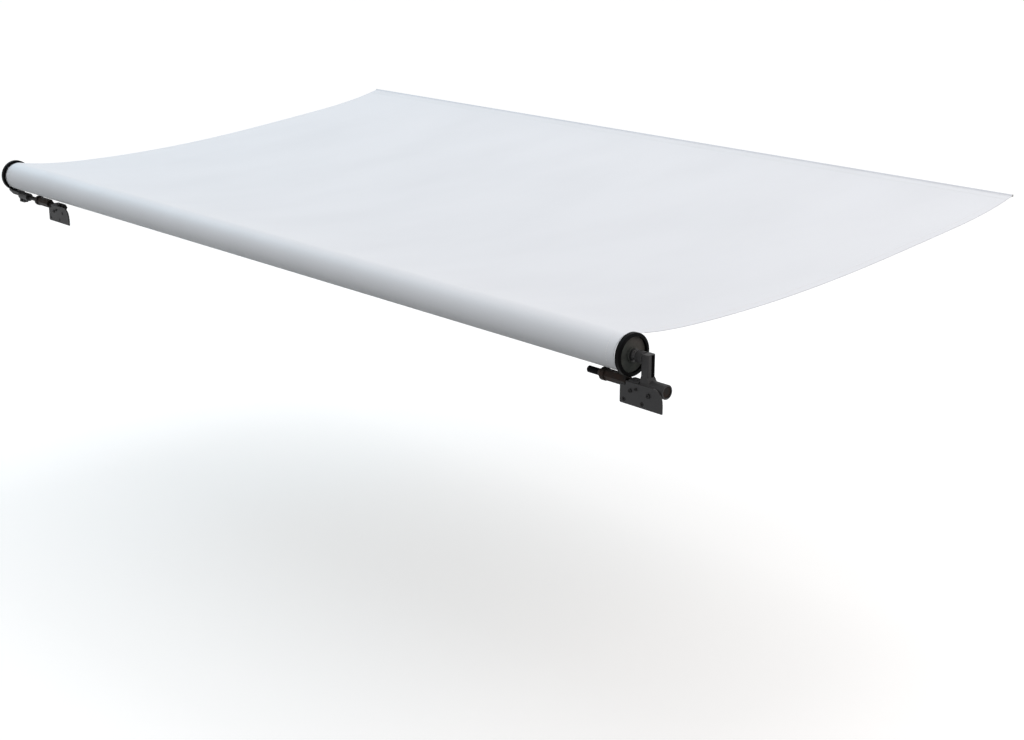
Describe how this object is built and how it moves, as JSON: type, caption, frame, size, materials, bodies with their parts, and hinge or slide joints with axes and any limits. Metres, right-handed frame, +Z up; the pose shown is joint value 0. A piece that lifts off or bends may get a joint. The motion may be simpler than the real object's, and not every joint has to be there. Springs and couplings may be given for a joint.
{
  "type": "slide topper awning",
  "caption": "Spring-rolled cloth cover for the top of a vehicle's slide-out box, with a roller tube, end caps, arms and wall brackets.",
  "frame": {"origin": "midway between the two wall screw holes of the right bracket, on the plate's back face", "axes": "+X along the roller towards the right bracket, +Y towards the vehicle wall, +Z up"},
  "size_m": [2.7005, 1.429, 0.2303],
  "materials": {
    "black_aluminium": "satin",
    "casting_grey": "satin",
    "cap_plastic": "matte",
    "tube_aluminium": "satin",
    "steel": "satin",
    "dark_steel": "satin",
    "zinc_screw": "satin",
    "bush_plastic": "satin",
    "white_vinyl": "satin",
    "rope": "matte"
  },
  "bodies": {
    "brackets": {"fabric_panel": "white_vinyl", "thrust_washers": "bush_plastic", "right_stub_shaft": "steel", "left_spring_shaft": "steel", "shaft_clips": "steel", "torsion_spring": "steel", "spring_anchor": "casting_grey", "anchor_pin": "steel", "right_base_plate": "casting_grey", "left_base_plate": "casting_grey", "right_rod_housing": "casting_grey", "left_rod_housing": "casting_grey", "right_rod_handle": "dark_steel", "left_rod_handle": "dark_steel", "right_clamp_rod": "dark_steel", "left_clamp_rod": "dark_steel", "housing_screws": "zinc_screw", "arm_screw": "zinc_screw", "handle_pins": "steel", "rod_cap": "black_aluminium", "rod_nut": "zinc_screw", "right_arm": "casting_grey", "sleeve_plug": "dark_steel", "left_arm": "casting_grey", "pinch_screw": "zinc_screw", "shaft_grub_screws": "zinc_screw"},
    "roller": {"roller_tube": "tube_aluminium", "roller_rope": "rope", "fabric_wraps": "white_vinyl", "right_end_cap": "cap_plastic", "left_end_cap": "cap_plastic", "right_bush": "bush_plastic", "left_bush": "bush_plastic", "end_cap_screws": "zinc_screw", "spring_plug": "casting_grey", "inner_guide": "bush_plastic"},
    "wall_edge": {"wall_hem": "white_vinyl", "wall_rope": "rope"}
  },
  "joints": [
    {"name": "roller_spin", "type": "hinge", "parent": "brackets", "child": "roller", "pos_m": [0, 0.016, 0.089], "axis": [1, 0, 0], "range_deg": [0, 1728], "deforming": ["torsion_spring"]},
    {"name": "wall_edge_slide", "type": "slide", "parent": "brackets", "child": "wall_edge", "axis": [0, -1, 0], "range_m": [0, 1.18], "deforming": ["fabric_panel"]}
  ],
  "couplings": [
    {"joint": "wall_edge_slide", "follows": "roller_spin", "m_per_rad": 0.0391}
  ]
}
